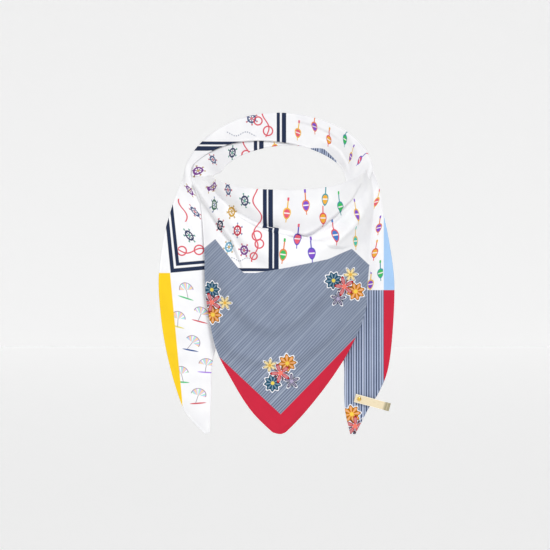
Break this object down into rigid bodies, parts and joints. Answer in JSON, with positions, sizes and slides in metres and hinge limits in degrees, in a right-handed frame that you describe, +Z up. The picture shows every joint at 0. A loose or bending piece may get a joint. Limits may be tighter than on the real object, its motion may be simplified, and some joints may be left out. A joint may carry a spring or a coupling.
{
  "type": "square neck scarf worn folded to a point",
  "caption": "Square printed neck scarf folded on its diagonal: a pointed front drape, two ends crossed at the nape and hanging in front, and a ribbon label.",
  "frame": {"origin": "centre of the neck opening, where the neck passes through", "axes": "+Z up along the hanging cloth, +Y towards the nape, +X towards the right as seen from the front"},
  "size_m": [0.2414, 0.1924, 0.3192],
  "materials": {
    "printed_cloth": "fine printed twill, soft, with a rolled hem",
    "label_ribbon": "gold satin ribbon",
    "stud_metal": "polished gold-coloured metal"
  },
  "bodies": {
    "root": {"cowl": "printed_cloth", "bib": "printed_cloth", "right_band": "printed_cloth", "left_tail": "printed_cloth", "left_band": "printed_cloth", "right_tail": "printed_cloth", "label": "label_ribbon", "label_stud": "stud_metal"}
  },
  "joints": []
}
